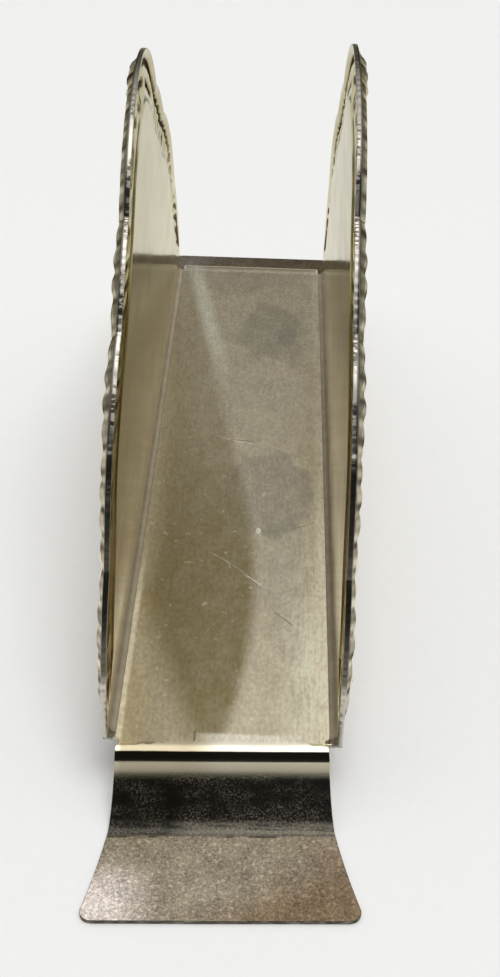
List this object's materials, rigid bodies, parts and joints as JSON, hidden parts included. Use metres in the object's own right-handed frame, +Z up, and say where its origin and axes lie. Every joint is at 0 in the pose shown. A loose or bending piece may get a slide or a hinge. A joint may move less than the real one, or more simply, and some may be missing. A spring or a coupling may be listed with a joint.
{
  "type": "napkin holder",
  "caption": "Pressed sheet-metal napkin holder: two tall side panels with a raised scalloped border on a floor strip that ends in flared feet.",
  "frame": {"origin": "middle of the holder on the surface that it stands on", "axes": "+Z up, +Y along the napkin slot, +X across it towards the right panel"},
  "size_m": [0.038, 0.1852, 0.0831],
  "materials": {
    "silver_plate": "worn, slightly tarnished silver plate, finely brushed along the floor",
    "plated_solder": "soft solder under the same plating, satin"
  },
  "bodies": {
    "root": {"base_strip": "silver_plate", "left_panel": "silver_plate", "right_panel": "silver_plate", "left_solder_seam": "plated_solder", "right_solder_seam": "plated_solder"}
  },
  "joints": []
}
